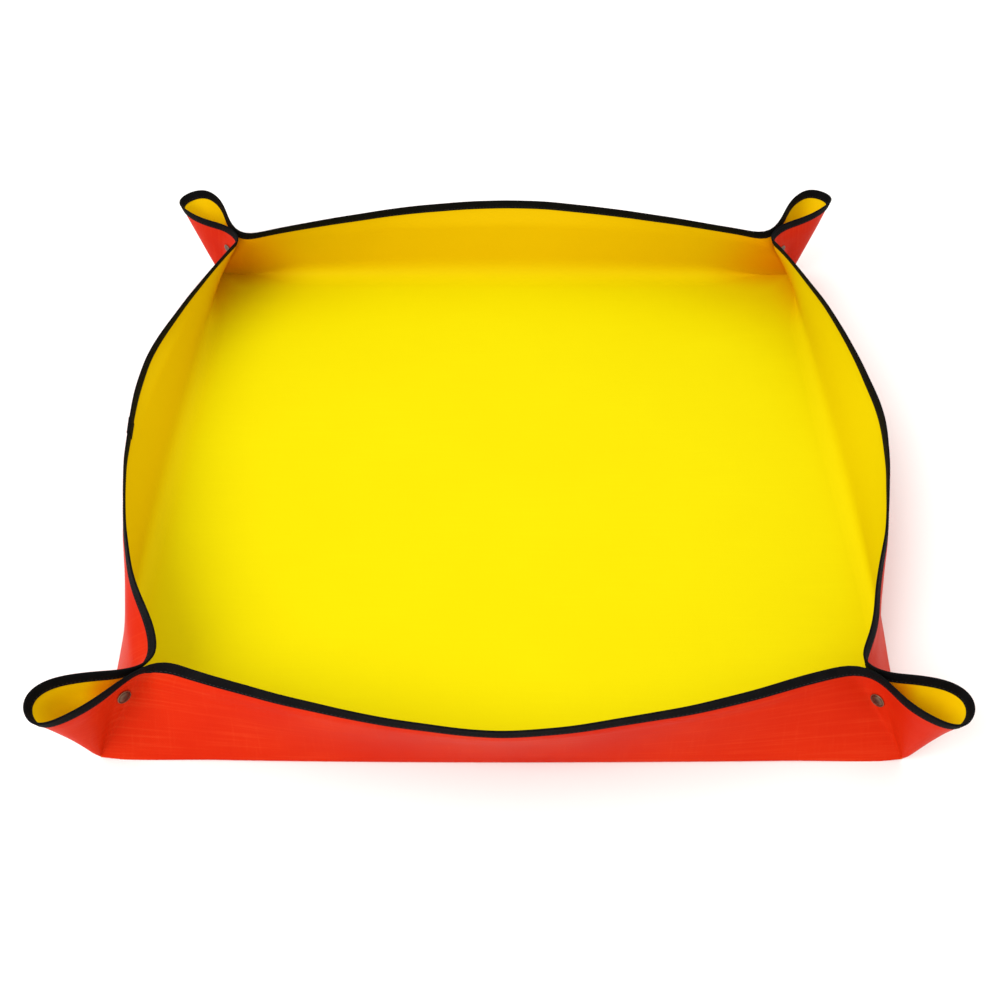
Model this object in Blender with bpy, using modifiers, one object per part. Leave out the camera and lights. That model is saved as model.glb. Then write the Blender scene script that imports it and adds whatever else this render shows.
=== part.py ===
"""A square coated-fabric mat whose four corners are snapped together, so that its edges stand up as a tray.

Each corner of the sheet sticks out as an open cone, which runs from the floor's corner to a teardrop rim.
Undoing the snaps lets the walls fold down about the floor's edges while the cones open.
The frame: origin in the middle of the underside, +X to the right, +Y to the back, +Z up.
"""

import math

import bmesh
import bpy
from mathutils import Matrix, Vector

# The sheet, cut square with rounded corners
flat_side = 0.750
wall_width = 0.079
corner_radius = 0.050
sheet_thickness = 0.0009
clearance = 0.0003

# How far each rim's middle stands outside the floor's edge
rim_spreads = {"front": 0.0325, "right": 0.0275, "back": 0.009, "left": 0.020}
rim_bow_power = 1.75
wall_spans = 32
wall_levels = 4

# Where the corners are pinched together, and the open cone beyond
pinch_inset = 0.037
pinch_half_gap = 0.0025
pinch_flat_angle = math.radians(14)
cone_reach_angle = math.radians(49.5)
cone_round_power = 1.2
cone_spans = 10
cone_fine_steps = 120
cone_levels = 1
cone_throat = 0.008
cone_seam_half_gap = 0.00025

# The binding, a tape folded over the sheet's edge
tape_width = 0.0080
tape_thickness = 0.0006
tape_clearance = 0.0004
tape_fold_points = 5

# The snaps: a cap through one layer grips the socket, a post through the other grips the stud
snap_height_share = 0.63
snap_angle_share = 0.50
snap_steps = 18
cap_radius = 0.0056
cap_height = 0.0018
cap_edge = 0.0004
cap_crown_radius_share = 0.62
cap_shank_radius = 0.0016
cap_flare_radius = 0.0023
cap_flare_thickness = 0.00025
socket_radius = 0.00475
socket_lip_radius = 0.0024
socket_lip_height = 0.0004
socket_room_radius = 0.0027
socket_plate = 0.0005
stud_radius = 0.0045
stud_plate = 0.00115
stud_neck_radius = 0.0018
stud_head_radius = 0.0021
stud_head_height = 0.0010
stud_wall = 0.0005
post_radius = 0.0042
post_plate = 0.0007
post_shank_radius = 0.0010
snap_rounding = 0.0003
seam_merge = 0.00001

RED = (0.80, 0.045, 0.016)
YELLOW = (0.93, 0.75, 0.003)
BLACK = (0.008, 0.008, 0.009)
BRONZE = (0.16, 0.085, 0.055)

floor_side = flat_side - 2 * wall_width
half_floor = floor_side / 2
mid_height = sheet_thickness / 2
half_sheet = sheet_thickness / 2
half_binding = half_sheet + tape_clearance + tape_thickness
edge_inset = half_binding
end_lean = math.asin(pinch_inset / wall_width)
up = Vector((0, 0, 1))
side_names = ("front", "right", "back", "left")


def side_axes(side):
    """The directions along a side's floor edge and outwards from it. Each side is the front one, turned."""
    turn = side_names.index(side) * math.pi / 2
    along = Vector((math.cos(turn), math.sin(turn), 0))
    return along, Vector((along.y, -along.x, 0))


def corner_name(side, end):
    """The corner at a side's end, which is -1 or 1 along it."""
    other = side_names[(side_names.index(side) + end) % 4]
    pair = (side, other) if side in ("front", "back") else (other, side)
    return "_".join(pair)


class End:
    """One end of a wall: the floor's corner, the pinch line up from it, and the plane between the layers."""

    def __init__(self, side, end):
        along, outward = side_axes(side)
        inward = along * -end
        self.side, self.end = side, end
        self.corner = outward * half_floor + along * (end * half_floor) + up * mid_height
        self.away = (inward + outward).normalized()
        rise = math.sqrt(wall_width**2 - pinch_inset**2)
        reach = (inward - outward) * pinch_inset + up * rise
        self.pinch_length = reach.length
        self.line = reach.normalized()
        out = (outward - inward).normalized()
        self.out = (out - self.line * out.dot(self.line)).normalized()
        self.hinge = self.corner + inward * (pinch_half_gap * math.sqrt(2))
        twist = (math.asin(rim_spreads[side] / wall_width) + end_lean) * rim_bow_power / half_floor
        rim_turn = outward * math.cos(end_lean) + up * math.sin(end_lean)
        rim_way = inward + rim_turn * (wall_width * twist)
        rim_way -= self.line * rim_way.dot(self.line)
        self.fold = math.pi - rim_way.angle(self.out)
        self.start_angle = math.atan2(wall_width, pinch_inset)


def cut_back(half_thickness, fold):
    """How far a layer ends short of the line that it folds about, so that it clears the next one."""
    return half_thickness * math.tan(fold / 2) + clearance / 2


def teardrop(turn, bulge):
    """The cone's directions, as angles along and across its middle plane, for a turn of 0 to pi."""
    along = pinch_flat_angle + cone_reach_angle * (1 - math.cos(turn)) / 2
    return along, bulge * math.sin(turn) * math.sin(turn / 2) ** cone_round_power


def on_sphere(angles):
    along, across = angles
    level = math.cos(across)
    return Vector((level * math.cos(along), level * math.sin(along), math.sin(across)))


def cone_columns():
    """The bulge that uses up the sheet's flat angle, and each column's turn and developed angle."""
    goal = math.radians(135) - math.atan2(wall_width, pinch_inset) - pinch_flat_angle
    fine = [math.pi * i / cone_fine_steps for i in range(cone_fine_steps + 1)]

    def developed(bulge):
        points = [on_sphere(teardrop(turn, bulge)) for turn in fine]
        lengths = [0.0]
        for a, b in zip(points, points[1:]):
            lengths.append(lengths[-1] + (b - a).length)
        return lengths

    low, high = 0.0, 1.0
    for _ in range(40):
        bulge = (low + high) / 2
        low, high = (bulge, high) if developed(bulge)[-1] < goal else (low, bulge)
    lengths = developed(bulge)
    kept = range(0, cone_fine_steps + 1, cone_fine_steps // cone_spans)
    return bulge, [(fine[i], lengths[i]) for i in kept]


cone_bulge, cone_turns = cone_columns()


def wall_columns(side, half_thickness):
    """Rulings of a wall from foot to rim: the foot, the unit ruling, its length, and the outer normal."""
    along, outward = side_axes(side)
    mid_lean = math.asin(rim_spreads[side] / wall_width)
    start = End(side, 1)
    half_foot = half_floor - pinch_half_gap * math.sqrt(2)
    last = 1 - cut_back(half_thickness, start.fold) / math.sin(start.start_angle) / half_foot
    columns = []
    for i in range(wall_spans + 1):
        share = max(-last, min(last, 2 * i / wall_spans - 1))
        lean = mid_lean - (mid_lean + end_lean) * abs(share) ** rim_bow_power
        slant = outward * math.sin(lean) + up * math.cos(lean)
        foot = outward * half_floor + along * (share * half_foot) + up * mid_height
        rim = foot + slant * wall_width - along * (share * pinch_inset)
        reach = rim - foot
        normal = outward * math.cos(lean) - up * math.sin(lean)
        columns.append((foot, reach.normalized(), reach.length, normal))
    return columns


def flat_reach(angle):
    """How far the sheet's edge is from the floor's corner, at this angle from the way in along the wall."""
    straight = wall_width / math.sin(angle)
    centre = wall_width - corner_radius
    if -straight * math.cos(angle) < centre:
        return straight
    towards = centre * (math.sin(angle) - math.cos(angle))
    return towards + math.sqrt(towards**2 - 2 * centre**2 + corner_radius**2)


def cone_half_columns(end, half_thickness):
    """Rulings of one half of a corner's cone, from the pinch line to the tip, in a wall's form."""
    apex = end.corner + end.away * pinch_half_gap
    first = end.hinge + end.out * cut_back(half_thickness, end.fold)
    first_length = wall_width / math.sin(end.start_angle)
    columns = [(first, end.line, first_length, end.away), (apex, end.line, first_length, end.away)]
    for turn, developed in cone_turns:
        along, across = teardrop(turn, cone_bulge)
        middle = end.line * math.cos(along) + end.out * math.sin(along)
        ruling = middle * math.cos(across) + end.away * math.sin(across)
        length = flat_reach(end.start_angle + pinch_flat_angle + developed)
        closing = (pinch_half_gap - cone_seam_half_gap) * (1 - math.cos(turn)) / 2
        reach = ruling * length - end.away * closing
        outer = end.away * (1 + math.cos(turn)) + end.out
        columns.append((apex, reach.normalized(), reach.length, outer))
    return columns


def rim_frames(columns, tip_tangent=None):
    """At each ruling's rim: the outer normal, and a step along the ruling over a step square to the rim."""
    rims = [foot + ruling * length for foot, ruling, length, _ in columns]
    frames = []
    for i, (_, ruling, _, outer) in enumerate(columns):
        tangent = (rims[min(i + 1, len(rims) - 1)] - rims[max(i - 1, 0)]).normalized()
        if tip_tangent and i == len(rims) - 1:
            tangent = tip_tangent
        normal = tangent.cross(ruling).normalized()
        if normal.dot(outer) < 0:
            normal = -normal
        frames.append((normal, 1 / math.sqrt(1 - ruling.dot(tangent) ** 2)))
    return frames


def material(name, colour, roughness, metallic=0.0):
    made = bpy.data.materials.new(name)
    made.use_nodes = True
    shader = made.node_tree.nodes["Principled BSDF"]
    shader.inputs["Base Color"].default_value = (*colour, 1)
    shader.inputs["Roughness"].default_value = roughness
    shader.inputs["Metallic"].default_value = metallic
    made.diffuse_color = (*colour, 1)
    return made


def collection(name):
    made = bpy.data.collections.new(name)
    bpy.context.scene.collection.children.link(made)
    return made


def pivot(name, place, parent=None):
    """An empty on a joint's axis, which its pieces and the next joint's empty hang from."""
    made = bpy.data.objects.new(name, None)
    parts.objects.link(made)
    made["place"] = tuple(place)
    made.parent = parent
    made.location = place - Vector(parent["place"]) if parent else place
    return made


def add_object(name, mesh, parent, materials):
    """Links a mesh given in the part's own frame, with its origin moved to its parent's."""
    made = bpy.data.objects.new(name, mesh)
    parts.objects.link(made)
    if parent:
        mesh.transform(Matrix.Translation(-Vector(parent["place"])))
        made.parent = parent
    for one in materials:
        mesh.materials.append(one)
    mesh.shade_smooth()
    mesh.set_sharp_from_angle(angle=math.radians(40))
    return made


def ruled_sheet(name, rows, outer, thickness, parent, materials):
    """A surface through rows of points, thickened on both sides. Its outer side takes the first material."""
    mesh = bpy.data.meshes.new(name)
    form = bmesh.new()
    grid = [[form.verts.new(point) for point in row] for row in rows]
    for one, two in zip(grid, grid[1:]):
        for i in range(len(one) - 1):
            form.faces.new((one[i], one[i + 1], two[i + 1], two[i]))
    form.normal_update()
    form.faces.ensure_lookup_table()
    if form.faces[0].normal.dot(outer) < 0:
        bmesh.ops.reverse_faces(form, faces=form.faces)
    form.to_mesh(mesh)
    form.free()
    made = add_object(name, mesh, parent, materials)
    shell = made.modifiers.new("thickness", "SOLIDIFY")
    shell.thickness = thickness
    shell.offset = 0
    shell.use_even_offset = True
    shell.material_offset = len(materials) - 1
    return made


def sheet_panel(name, columns, frames, start, levels, parent):
    """The sheet along these rulings, from start up to where the binding's fold holds its edge."""
    rows = []
    for (foot, ruling, length, _), (_, share) in zip(columns, frames):
        taped = length - tape_width * share
        reaches = [start + (taped - start) * i / levels for i in range(levels + 1)]
        reaches.append(length - edge_inset * share)
        rows.append([foot + ruling * reach for reach in reaches])
    return ruled_sheet(name, rows, frames[0][0], sheet_thickness, parent, (red, yellow))


def binding(name, columns, frames, parent):
    """The tape folded over the rim of these rulings, a U in section."""
    lift = half_binding - tape_thickness / 2
    bend = [math.pi / 2 - math.pi * i / (tape_fold_points - 1) for i in range(tape_fold_points)]
    section = [(tape_width, lift)]
    section += [(tape_thickness / 2 + lift * (1 - math.cos(a)), lift * math.sin(a)) for a in bend]
    section += [(tape_width, -lift)]
    rows = []
    for (foot, ruling, length, _), (normal, share) in zip(columns, frames):
        rows.append([foot + ruling * (length - depth * share) + normal * off for depth, off in section])
    return ruled_sheet(name, rows, frames[0][0], tape_thickness, parent, (black,))


def turned(name, profile, centre, direction, parent, closed=False):
    """A solid turned about its own Z, which points along direction. The profile runs down its outer side."""
    mesh = bpy.data.meshes.new(name)
    edges = [(i, i + 1) for i in range(len(profile) - 1)]
    if closed:
        edges.append((len(profile) - 1, 0))
    mesh.from_pydata([(radius, 0, height) for radius, height in profile], edges, [])
    made = bpy.data.objects.new(name, mesh)
    parts.objects.link(made)
    mesh.materials.append(bronze)
    made.parent = parent
    made.location = centre - Vector(parent["place"])
    made.rotation_mode = "QUATERNION"
    made.rotation_quaternion = direction.to_track_quat("Z", "Y")
    screw = made.modifiers.new("turn", "SCREW")
    screw.steps = screw.render_steps = snap_steps
    screw.use_merge_vertices = True
    screw.merge_threshold = seam_merge
    screw.use_smooth_shade = False
    return made


def snap_centre(end):
    """The snap's middle, on the plane halfway between the two layers."""
    angle = pinch_flat_angle * snap_angle_share
    way = end.line * math.cos(angle) + end.out * math.sin(angle)
    return end.corner + way * (end.pinch_length * snap_height_share)


def cut_hole(panel, end, radius):
    """A round hole through a panel on the snap's axis."""
    mesh = bpy.data.meshes.new(panel.name + "_hole")
    form = bmesh.new()
    depth = 4 * pinch_half_gap
    bmesh.ops.create_cone(
        form, cap_ends=True, segments=snap_steps, radius1=radius, radius2=radius, depth=depth
    )
    form.to_mesh(mesh)
    form.free()
    cutter = bpy.data.objects.new(panel.name + "_hole", mesh)
    cutters.objects.link(cutter)
    cutter.location = snap_centre(end) + end.away * pinch_half_gap
    cutter.rotation_mode = "QUATERNION"
    cutter.rotation_quaternion = end.away.to_track_quat("Z", "Y")
    cutter.hide_render = True
    cutter.display_type = "WIRE"
    cut = panel.modifiers.new("hole", "BOOLEAN")
    cut.object = cutter
    cut.operation = "DIFFERENCE"
    cut.solver = "EXACT"


# Heights along the snap's axis, from the plane between the layers towards the layer that carries the piece
layer_inner = pinch_half_gap - half_sheet
layer_outer = pinch_half_gap + half_sheet
seat = layer_inner - clearance
face = layer_outer + clearance
socket_face = -clearance
stud_face = seat - stud_plate
socket_ceiling = seat - socket_plate
flare_top = socket_ceiling - clearance / 2
flare_bottom = flare_top - cap_flare_thickness


def snap_cap(name, end, parent):
    crown = face + cap_height
    profile = [
        (0, crown),
        (cap_radius * cap_crown_radius_share, crown - cap_edge / 2),
        (cap_radius - snap_rounding, face + cap_edge + snap_rounding),
        (cap_radius, face + cap_edge),
        (cap_radius, face + snap_rounding / 2),
        (cap_radius - snap_rounding, face),
        (cap_shank_radius, face),
        (cap_shank_radius, flare_top),
        (cap_flare_radius, flare_top),
        (cap_flare_radius, flare_bottom),
        (0, flare_bottom),
    ]
    return turned(name, profile, snap_centre(end), end.away, parent)


def snap_socket(name, end, parent):
    hole = cap_shank_radius + clearance
    profile = [
        (hole, seat),
        (socket_radius - snap_rounding, seat),
        (socket_radius, seat - snap_rounding),
        (socket_radius, socket_face + 2 * snap_rounding),
        (socket_radius - snap_rounding, socket_face),
        (socket_lip_radius, socket_face),
        (socket_lip_radius, socket_face + socket_lip_height),
        (socket_room_radius, socket_face + socket_lip_height + snap_rounding),
        (socket_room_radius, socket_ceiling),
        (hole, socket_ceiling),
    ]
    return turned(name, profile, snap_centre(end), end.away, parent, closed=True)


def snap_stud(name, end, parent):
    bore = post_shank_radius + clearance
    tip = stud_face - stud_head_height
    profile = [
        (0, tip + stud_wall),
        (bore, tip + stud_wall),
        (bore, seat),
        (stud_radius - snap_rounding, seat),
        (stud_radius, seat - snap_rounding),
        (stud_radius, stud_face + snap_rounding),
        (stud_radius - snap_rounding, stud_face),
        (stud_neck_radius, stud_face),
        (stud_head_radius, tip + 2 * snap_rounding),
        (stud_head_radius - snap_rounding, tip),
        (0, tip),
    ]
    return turned(name, profile, snap_centre(end), end.away, parent)


def snap_post(name, end, parent):
    shank_end = stud_face - stud_head_height + stud_wall + clearance
    profile = [
        (0, face + post_plate),
        (post_radius - 2 * snap_rounding, face + post_plate),
        (post_radius, face + post_plate / 2),
        (post_radius - snap_rounding, face),
        (post_shank_radius, face),
        (post_shank_radius, shank_end),
        (0, shank_end),
    ]
    return turned(name, profile, snap_centre(end), end.away, parent)


def floor_panel():
    mesh = bpy.data.meshes.new("floor_panel")
    form = bmesh.new()
    bmesh.ops.create_cube(form, size=1)
    side = floor_side - 2 * cut_back(half_sheet, math.pi / 2 + end_lean)
    bmesh.ops.scale(form, vec=(side, side, sheet_thickness), verts=form.verts)
    bmesh.ops.translate(form, vec=up * mid_height, verts=form.verts)
    form.faces.ensure_lookup_table()
    for side_face in form.faces:
        side_face.material_index = 1 if side_face.normal.z > 0.5 else 0
    form.to_mesh(mesh)
    form.free()
    return add_object("floor_panel", mesh, None, (red, yellow))


def wall(side):
    """One wall with its binding, on its fold line, and the two half cones at its ends."""
    along, outward = side_axes(side)
    fold = pivot(side + "_wall_fold", outward * half_floor + up * mid_height)
    foot = cut_back(half_sheet, math.pi / 2 + end_lean)
    columns = wall_columns(side, half_sheet)
    sheet_panel(side + "_wall_panel", columns, rim_frames(columns), foot, wall_levels, fold)
    columns = wall_columns(side, half_binding)
    binding(side + "_wall_binding", columns, rim_frames(columns), fold)
    for end_sign in (-1, 1):
        cone_half(End(side, end_sign), fold)


def cone_half(end, wall_fold):
    """Half of a corner's open cone, with its binding and its half of the snap."""
    corner = corner_name(end.side, end.end)
    name = f"{corner}_ear_{end.side}_half"
    fold = pivot(name + "_fold", end.hinge, wall_fold)
    columns = cone_half_columns(end, half_sheet)
    panel = sheet_panel(name, columns, rim_frames(columns, end.away), cone_throat, cone_levels, fold)
    columns = cone_half_columns(end, half_binding)
    binding(name + "_binding", columns, rim_frames(columns, end.away), fold)
    if end.side in ("front", "back"):
        cut_hole(panel, end, cap_shank_radius + clearance)
        snap_cap(corner + "_snap_cap", end, fold)
        snap_socket(corner + "_snap_socket", end, fold)
    else:
        cut_hole(panel, end, post_shank_radius + clearance)
        snap_stud(corner + "_snap_stud", end, fold)
        snap_post(corner + "_snap_post", end, fold)


for old in list(bpy.data.objects):
    bpy.data.objects.remove(old)
parts = collection("repotting_mat")
cutters = collection("cutters")
red = material("red_outer_face", RED, 0.42)
yellow = material("yellow_inner_face", YELLOW, 0.50)
black = material("black_binding", BLACK, 0.80)
bronze = material("antique_bronze", BRONZE, 0.38, 1.0)

floor_panel()
for wall_side in side_names:
    wall(wall_side)
print("cone half width at most", round(math.degrees(cone_bulge), 2), "degrees of bulge")
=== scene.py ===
import math

import bpy
import numpy as np
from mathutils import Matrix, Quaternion, Vector


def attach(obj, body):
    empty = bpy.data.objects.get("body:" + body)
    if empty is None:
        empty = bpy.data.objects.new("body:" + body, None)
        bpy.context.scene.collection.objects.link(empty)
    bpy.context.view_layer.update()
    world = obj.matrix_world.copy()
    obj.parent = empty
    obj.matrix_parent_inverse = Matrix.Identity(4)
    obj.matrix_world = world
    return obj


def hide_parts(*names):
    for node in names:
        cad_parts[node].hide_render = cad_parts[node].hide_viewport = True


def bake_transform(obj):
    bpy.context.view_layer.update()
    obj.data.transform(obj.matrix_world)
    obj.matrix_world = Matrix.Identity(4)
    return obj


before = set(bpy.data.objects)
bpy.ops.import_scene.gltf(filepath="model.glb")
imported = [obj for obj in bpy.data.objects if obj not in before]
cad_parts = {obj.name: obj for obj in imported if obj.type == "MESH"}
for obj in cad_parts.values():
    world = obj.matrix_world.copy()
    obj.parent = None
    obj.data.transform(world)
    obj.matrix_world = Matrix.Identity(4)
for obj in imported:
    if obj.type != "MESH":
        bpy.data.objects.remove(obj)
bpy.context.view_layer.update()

# Sizes are in metres. A place along one side's whole edge is q, from -halfFlat to halfFlat as on the flat
# sheet, and a place between the foot and the rim is h, from 0 to 1.
mat = {
    "flatSide": 0.750,
    "wallWidth": 0.079,
    "cornerRadius": 0.050,  # the flat sheet's corners are cut round
    "thickness": 0.0009,
    "rimSpread": {"front": 0.0325, "right": 0.0312, "back": 0.009, "left": 0.0237},
    # the taped rim stands straighter than the wall below it
    "rimStand": {"front": 0.0040, "right": 0.0044, "back": 0.0, "left": 0.0044},
    "standFrom": 0.80,
    "bowPower": 1.75,
    # how far the soft bend between floor and wall reaches on each side of it
    "creaseReach": {"front": 0.0035, "right": 0.014, "back": 0.018, "left": 0.014},
    "creaseEnds": (0.70, 0.94),  # shares of the half wall between which that bend runs out
    "creaseLeast": 0.00005,
    "creaseAim": 0.10,  # height of the wall that the bend runs towards
    "cornerLift": 0.0012,  # the floor's corner is drawn up a little into the cone
    "cornerUp": 0.9,  # shares of that lift that go up and inwards
    "cornerIn": 0.5,
    "cornerReach": 0.0080,
    # how far the foot lies outside its line, at five places along it
    "toe": {
        "front": (0.0042, 0.0072, 0.0070, 0.0058, 0.0025),
        "right": (0.0025, 0.0125, 0.0080, 0.0040, 0.0),
        "back": (0.0, 0.0, 0.0, 0.0, 0.0),
        "left": (0.0, 0.0030, 0.0050, 0.0068, 0.0012),
    },
    "toeHeight": 0.045,
    "toeReach": 0.100,
    "foldFrom": 0.0015,  # heights between which the foot gives way as a wall folds down
    "foldTo": 0.0220,
    "waveHeight": 0.0005,
    # each wave's share, pace along the edge, turn from side to side, start, and pace up the wall
    "waves": ((0.6, 47, 1.3, 0.6, 0.0), (0.3, 89, -2.1, 0.0, 3.0), (0.1, 151, 4.0, 0.0, 0.0)),
    "waveRunsOut": (0.020, 0.040),  # how far before the pinch it ends, and over what length
    "waveRise": 1.4,
    "wallColumns": 112,
    "wallRows": 22,
    "rimSteps": 1500,
    "creaseRows": 7,
}
ear = {
    "pinchInset": 0.037,  # how far the rim's pinch lies inside the corner, seen from above
    "flatAngle": math.radians(14),
    "reachAngle": math.radians(49.5),
    "roundPower": 1.2,
    "rimGap": 0.00125,  # between the sheet's middle and the plane where the two layers meet
    "gapReach": 0.045,
    "gapRise": 1.6,
    "snapGap": 0.0025,
    "snapHeightShare": 0.63,
    "snapAngleShare": 0.50,
    "snapPressReach": 0.0125,
    # how far the fold beside the pinch reaches, low down and at the rim
    "bendReachLow": 0.0050,
    "bendReachHigh": {"front": 0.0210, "right": 0.0140, "back": 0.0210, "left": 0.0140},
    "bendHighFrom": 0.62,
    "bendFrom": 0.070,  # before the pinch
    "bendRunsOut": 0.045,
    "droop": {"front_left": 0.0, "front_right": 0.0, "back_right": 0.001, "back_left": 0.001},
    "droopReach": 0.060,
    # how much wider than the even cone some halves stand open, by side and end
    "opener": {("left", -1): 1.25, ("left", 1): 1.45, ("right", -1): 1.35,
               ("back", -1): 1.1, ("back", 1): 1.15},
    "boundaryShare": 0.95,  # of the half wall: where a wall's piece ends and an ear's starts
    "hingeBefore": 0.009,  # how far on each side of the pinch the fold starts and ends, for the pieces that cross it
    "hingeAfter": 0.007,
    "footGap": 0.008,  # share of each ruling that is left free at the cone's point
    "footThin": 0.25,
    "footThicken": 9,
    "coneSteps": 240,
    "rowPower": 1.25,
    "columns": 92,
    "rows": 30,
}
halfFloor = mat["flatSide"] / 2 - mat["wallWidth"]
halfFlat = mat["flatSide"] / 2
midHeight = mat["thickness"] / 2
pinchAt = halfFloor - ear["pinchInset"]
boundaryAt = pinchAt * ear["boundaryShare"]
endLean = math.asin(ear["pinchInset"] / mat["wallWidth"])
startAngle = math.atan2(mat["wallWidth"], ear["pinchInset"])
ridgeAngle = math.radians(135)  # on the flat sheet, from the way in along the wall to the sheet's corner
pinchLength = math.hypot(mat["wallWidth"], ear["pinchInset"])
sideNames = ("front", "right", "back", "left")
up = np.array((0.0, 0.0, 1.0))


def unit(v):
    return v / np.linalg.norm(v, axis=-1, keepdims=True)


def smooth(t):
    t = np.clip(t, 0, 1)
    return t * t * (3 - 2 * t)


def sideAxes(side):
    turn = sideNames.index(side) * math.pi / 2
    along = np.array((math.cos(turn), math.sin(turn), 0.0))
    return along, np.array((along[1], -along[0], 0.0))


def cornerName(side, end):
    other = sideNames[(sideNames.index(side) + end) % 4]
    pair = (side, other) if side in ("front", "back") else (other, side)
    return "_".join(pair)


def cornerAxes(side, end):
    # the floor's corner, then the pinch line, the way out in the mirror plane, and away from that plane
    along, outward = sideAxes(side)
    inward = -end * along
    corner = outward * halfFloor + along * (end * halfFloor) + up * midHeight
    rise = math.sqrt(mat["wallWidth"] ** 2 - ear["pinchInset"] ** 2)
    line = unit((inward - outward) * ear["pinchInset"] + up * rise)
    out = unit(outward - inward)
    out = unit(out - line * (out @ line))
    return corner, line, out, unit(inward + outward)


# The cone

def rulings(along, across):
    level = np.cos(across)
    return np.stack([level * np.cos(along), level * np.sin(along), np.sin(across)], axis=-1)


def teardrop(turn, bulge):
    along = ear["flatAngle"] + ear["reachAngle"] * (1 - np.cos(turn)) / 2
    return along, bulge * np.sin(turn) * np.sin(turn / 2) ** ear["roundPower"]


def coneTable(bulge):
    turns = np.linspace(0, math.pi, ear["coneSteps"] + 1)
    along, across = teardrop(turns, bulge)
    steps = np.linalg.norm(np.diff(rulings(along, across), axis=0), axis=1)
    lengths = np.concatenate([[0], np.cumsum(steps)])
    return turns, lengths


def findBulge():
    # the sheet neither stretches nor tears, so the cone is as wide as the flat angle that is left
    goal = ridgeAngle - startAngle - ear["flatAngle"]
    low, high = 0.0, 1.0
    for _ in range(40):
        bulge = (low + high) / 2
        low, high = (bulge, high) if coneTable(bulge)[1][-1] < goal else (low, bulge)
    return bulge


coneBulge = findBulge()
coneTurns, coneLengths = coneTable(coneBulge)


def earWays(theta, opener):
    # unit rulings as shares of line, out and away, and how much of the pinch's gap is left there
    turn = np.interp(theta - ear["flatAngle"], coneLengths, coneTurns)
    along, across = teardrop(turn, coneBulge)
    across = across * opener
    inFlat = theta < ear["flatAngle"]
    along = np.where(inFlat, theta, along)
    across = np.where(inFlat, 0, across)
    return rulings(along, across), np.where(inFlat, 1, (1 + np.cos(turn)) / 2)


def flatReach(angle):
    # from the floor's corner to the flat sheet's edge, at this angle from the way in along the wall
    width, radius = mat["wallWidth"], mat["cornerRadius"]
    centre = width - radius
    towards = centre * (np.sin(angle) - np.cos(angle))
    roundPart = towards + np.sqrt(np.maximum(towards**2 - 2 * centre**2 + radius**2, 0))
    straight = width / np.sin(angle)
    return np.where(-np.cos(angle) * straight > centre, roundPart, straight)


# The sheet's middle surface

def bareSurface(side, q, h):
    along, outward = sideAxes(side)
    q, h = np.broadcast_arrays(np.asarray(q, float), np.asarray(h, float))
    share = np.clip(q / pinchAt, -1, 1)
    midLean = math.asin(mat["rimSpread"][side] / mat["wallWidth"])
    lean = midLean - (midLean + endLean) * np.abs(share) ** mat["bowPower"]
    foot = outward * halfFloor + along * (share * halfFloor)[..., None] + up * midHeight
    slant = outward * np.sin(lean)[..., None] + up * np.cos(lean)[..., None]
    rim = foot + slant * mat["wallWidth"] - along * (share * ear["pinchInset"])[..., None]
    points = foot + (rim - foot) * h[..., None]
    stand = smooth((h - mat["standFrom"]) / (1 - mat["standFrom"])) * (1 - share**4)
    stand = stand * mat["rimStand"][side]
    points = points - outward * stand[..., None]
    for end in (-1, 1):
        corner, line, out, away = cornerAxes(side, end)
        past = np.maximum(end * q - pinchAt, 0)
        theta = np.arctan2(mat["wallWidth"], ear["pinchInset"] - past) - startAngle
        ways, held = earWays(theta, ear["opener"].get((side, end), 1.0))
        reach = (ways @ np.stack([line, out, away])) * flatReach(startAngle + theta)[..., None]
        inEar = (end * q > pinchAt)[..., None]
        points = np.where(inEar, corner + reach * h[..., None], points)
        sag = ear["droop"][cornerName(side, end)] * smooth(past / ear["droopReach"]) * h**2
        points = points - up * sag[..., None]
        near = np.where(end * q > pinchAt, held, smooth(1 + (end * q - pinchAt) / ear["gapReach"]))
        points = points + away * (near * ear["rimGap"] * smooth(h * ear["gapRise"]))[..., None]
    return points


averageShares = (0.06, 0.13, 0.20, 0.22, 0.20, 0.13, 0.06)
averagePlaces = np.linspace(-1, 1, len(averageShares))


def snapCentre(side, end):
    # on the plane where the two layers meet
    corner, line, out = cornerAxes(side, end)[:3]
    angle = ear["flatAngle"] * ear["snapAngleShare"]
    way = line * math.cos(angle) + out * math.sin(angle)
    return corner + way * pinchLength * ear["snapHeightShare"]


def plainSurface(side, q, h):
    # the bare surface, its fold beside the pinch softened, pressed apart by the snap, and a little wavy
    q, h = np.broadcast_arrays(np.asarray(q, float), np.asarray(h, float))
    high = smooth((h - ear["bendHighFrom"]) / (1 - ear["bendHighFrom"]))
    reach = ear["bendReachLow"] + (ear["bendReachHigh"][side] - ear["bendReachLow"]) * high
    reach = reach * smooth((halfFlat - np.abs(q)) / ear["bendRunsOut"])
    reach = reach * smooth((np.abs(q) - pinchAt + ear["bendFrom"]) / ear["bendRunsOut"])
    points = 0
    for place, weight in zip(averagePlaces, averageShares):
        points = points + weight * bareSurface(side, q + reach * place, h)
    for end in (-1, 1):
        away = cornerAxes(side, end)[3]
        off = points - snapCentre(side, end)
        off = off - away * (off @ away)[..., None]
        press = np.exp(-(np.linalg.norm(off, axis=-1) / ear["snapPressReach"]) ** 4)
        there = ear["rimGap"] * smooth(ear["snapHeightShare"] * ear["gapRise"])
        points = points + away * (press * (end * q > 0) * (ear["snapGap"] - there))[..., None]
    return points + waves(side, q, h)


toeCurves = {side: np.polyfit((-1, -0.5, 0, 0.5, 1), mat["toe"][side], 4) for side in sideNames}

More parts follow.
